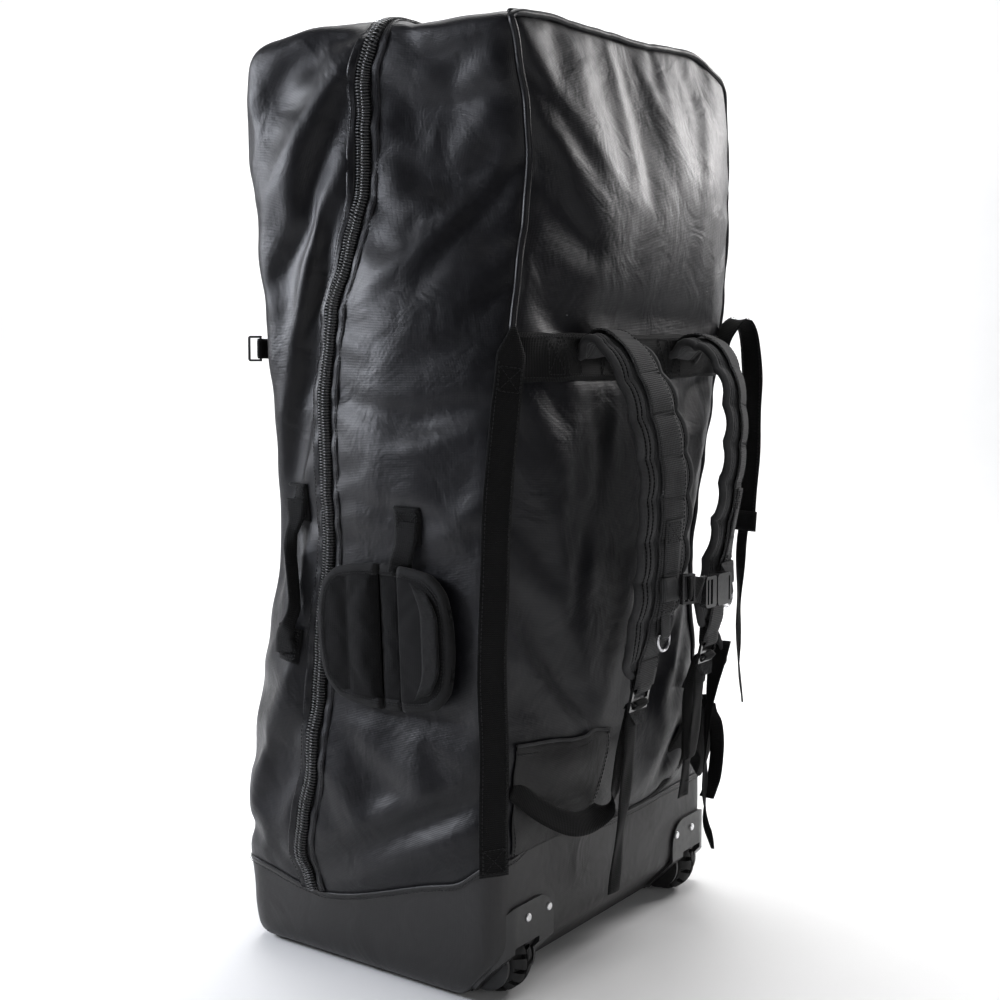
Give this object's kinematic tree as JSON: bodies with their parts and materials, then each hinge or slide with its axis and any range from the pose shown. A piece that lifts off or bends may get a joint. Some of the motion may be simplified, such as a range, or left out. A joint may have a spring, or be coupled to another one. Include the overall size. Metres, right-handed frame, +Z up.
{
  "type": "wheeled snowboard bag",
  "caption": "Tall wheeled snowboard bag: a booted fabric body opening in two halves along a zip, a padded shoulder harness and a wrapped side grip.",
  "frame": {"origin": "middle of the flat base, on the floor", "axes": "+Z up, +X to the right as seen from the harness side, harness on the -Y face"},
  "size_m": [0.5066, 0.4636, 0.9966],
  "materials": {
    "board": "matte sheet",
    "boot_fabric": "coated tarpaulin, low sheen",
    "dark_ring": "black lacquer",
    "moulding": "moulded, fine grain",
    "padding": "padded weave with bound edges",
    "rivet": "satin",
    "shell_fabric": "coated polyester weave, low sheen",
    "steel": "plain",
    "tyre": "knobbly tread",
    "webbing": "woven ribbed webbing",
    "zip_teeth": "coil teeth"
  },
  "bodies": {
    "bag": {"back_shell": "shell_fabric", "base_boot": "boot_fabric", "base_board": "board", "back_board": "board", "back_piping": "shell_fabric", "harness_pocket": "shell_fabric", "rivets": "rivet", "yoke_band": "webbing", "corner_strap_left": "webbing", "corner_strap_right": "webbing", "waist_band": "webbing", "back_handle_patches": "webbing", "zip_tape_back": "webbing", "zip_coil_back": "zip_teeth", "wheel_housing_left": "moulding", "wheel_housing_right": "moulding", "axle_left": "steel", "axle_right": "steel", "adjuster_left": "webbing", "adjuster_right": "webbing"},
    "front_half": {"front_shell": "shell_fabric", "zip_tape_front": "webbing", "zip_coil_front": "zip_teeth", "front_handle_patches": "webbing", "front_ring_tab": "webbing"},
    "wheel_left": {"tyre_left": "tyre", "hub_left": "moulding", "bush_left": "moulding"},
    "wheel_right": {"tyre_right": "tyre", "hub_right": "moulding", "bush_right": "moulding"},
    "slider_left": {"zip_slider_left": "dark_ring"},
    "slider_right": {"zip_slider_right": "dark_ring"},
    "pull_left": {"zip_pull_left": "dark_ring"},
    "pull_right": {"zip_pull_right": "dark_ring"},
    "shoulder_left": {"shoulder_pad_left": "padding", "pad_overlay_left": "webbing", "pad_tabs_left": "webbing", "chest_webbing_left": "webbing", "chest_triglide": "moulding", "adjuster_tail_left": "webbing"},
    "shoulder_right": {"shoulder_pad_right": "padding", "pad_overlay_right": "webbing", "pad_tabs_right": "webbing", "chest_webbing_right": "webbing", "chest_socket": "moulding", "adjuster_tail_right": "webbing"},
    "chest_plug": {"chest_plug": "moulding"},
    "lock_left": {"ladder_lock_left": "moulding"},
    "lock_right": {"ladder_lock_right": "moulding"},
    "ring_left": {"d_ring_left": "steel"},
    "ring_right": {"d_ring_right": "steel"},
    "front_ring": {"front_ring": "dark_ring"},
    "front_grip": {"front_handle_loop": "webbing"},
    "back_grip": {"back_handle_loop": "webbing", "wrap_core": "padding"},
    "wrap_front": {"wrap_flap_front": "padding"},
    "wrap_back": {"wrap_flap_back": "padding"},
    "waist_wing": {"waist_wing": "padding", "waist_webbing": "webbing"}
  },
  "joints": [
    {"name": "front_half_opens", "type": "hinge", "parent": "bag", "child": "front_half", "pos_m": [0, 0.167, 0.105], "axis": [-1, 0, 0], "range_deg": [0, 90]},
    {"name": "wheel_left_spin", "type": "hinge", "parent": "bag", "child": "wheel_left", "pos_m": [-0.178, -0.134, 0.036], "axis": [1, 0, 0], "continuous": true},
    {"name": "wheel_right_spin", "type": "hinge", "parent": "bag", "child": "wheel_right", "pos_m": [0.178, -0.134, 0.036], "axis": [1, 0, 0], "continuous": true},
    {"name": "slider_left_runs", "type": "slide", "parent": "bag", "child": "slider_left", "axis": [-1, 0, 0], "range_m": [0, 0.15]},
    {"name": "slider_right_runs", "type": "slide", "parent": "bag", "child": "slider_right", "axis": [1, 0, 0], "range_m": [0, 0.15]},
    {"name": "pull_left_lifts", "type": "hinge", "parent": "slider_left", "child": "pull_left", "pos_m": [-0.016, 0.008, 0.99385], "axis": [0, 1, 0], "range_deg": [0, 90]},
    {"name": "pull_right_lifts", "type": "hinge", "parent": "slider_right", "child": "pull_right", "pos_m": [0.016, 0.008, 0.99385], "axis": [0, -1, 0], "range_deg": [0, 90]},
    {"name": "shoulder_left_lifts", "type": "hinge", "parent": "bag", "child": "shoulder_left", "pos_m": [0.018, -0.174, 0.655], "axis": [-1, 0, 0], "range_deg": [0, 12]},
    {"name": "shoulder_right_lifts", "type": "hinge", "parent": "bag", "child": "shoulder_right", "pos_m": [0.018, -0.174, 0.655], "axis": [-1, 0, 0], "range_deg": [0, 12]},
    {"name": "chest_plug_pulls_out", "type": "slide", "parent": "shoulder_left", "child": "chest_plug", "axis": [-1, 0, 0], "range_m": [0, 0.022]},
    {"name": "lock_left_tilts", "type": "hinge", "parent": "shoulder_left", "child": "lock_left", "pos_m": [-0.049, -0.225, 0.299], "axis": [-1, 0, 0], "range_deg": [0, 20]},
    {"name": "lock_right_tilts", "type": "hinge", "parent": "shoulder_right", "child": "lock_right", "pos_m": [0.088, -0.234, 0.329], "axis": [-1, 0, 0], "range_deg": [0, 20]},
    {"name": "ring_left_swings", "type": "hinge", "parent": "shoulder_left", "child": "ring_left", "pos_m": [-0.051, -0.2523, 0.358], "axis": [-1, 0, 0], "range_deg": [0, 70]},
    {"name": "ring_right_swings", "type": "hinge", "parent": "shoulder_right", "child": "ring_right", "pos_m": [0.09, -0.2553, 0.386], "axis": [-1, 0, 0], "range_deg": [0, 70]},
    {"name": "front_ring_swings", "type": "hinge", "parent": "front_half", "child": "front_ring", "pos_m": [-0.198, 0.1714, 0.655], "axis": [0, 0, 1], "range_deg": [-25, 45]},
    {"name": "front_grip_lifts", "type": "slide", "parent": "front_half", "child": "front_grip", "axis": [-1, 0, 0], "range_m": [0, 0.025]},
    {"name": "back_grip_lifts", "type": "slide", "parent": "bag", "child": "back_grip", "axis": [-1, 0, 0], "range_m": [0, 0.025]},
    {"name": "wrap_front_folds", "type": "hinge", "parent": "back_grip", "child": "wrap_front", "pos_m": [-0.244, -0.0308, 0.362], "axis": [0, 0, 1], "range_deg": [0, 80]},
    {"name": "wrap_back_folds", "type": "hinge", "parent": "back_grip", "child": "wrap_back", "pos_m": [-0.244, -0.0572, 0.362], "axis": [0, 0, -1], "range_deg": [0, 80]},
    {"name": "waist_wing_swings", "type": "hinge", "parent": "bag", "child": "waist_wing", "pos_m": [0.152, -0.187, 0.262], "axis": [0, 0, 1], "range_deg": [0, 28]}
  ],
  "couplings": [
    {"joint": "shoulder_right_lifts", "follows": "shoulder_left_lifts", "ratio": 1}
  ]
}
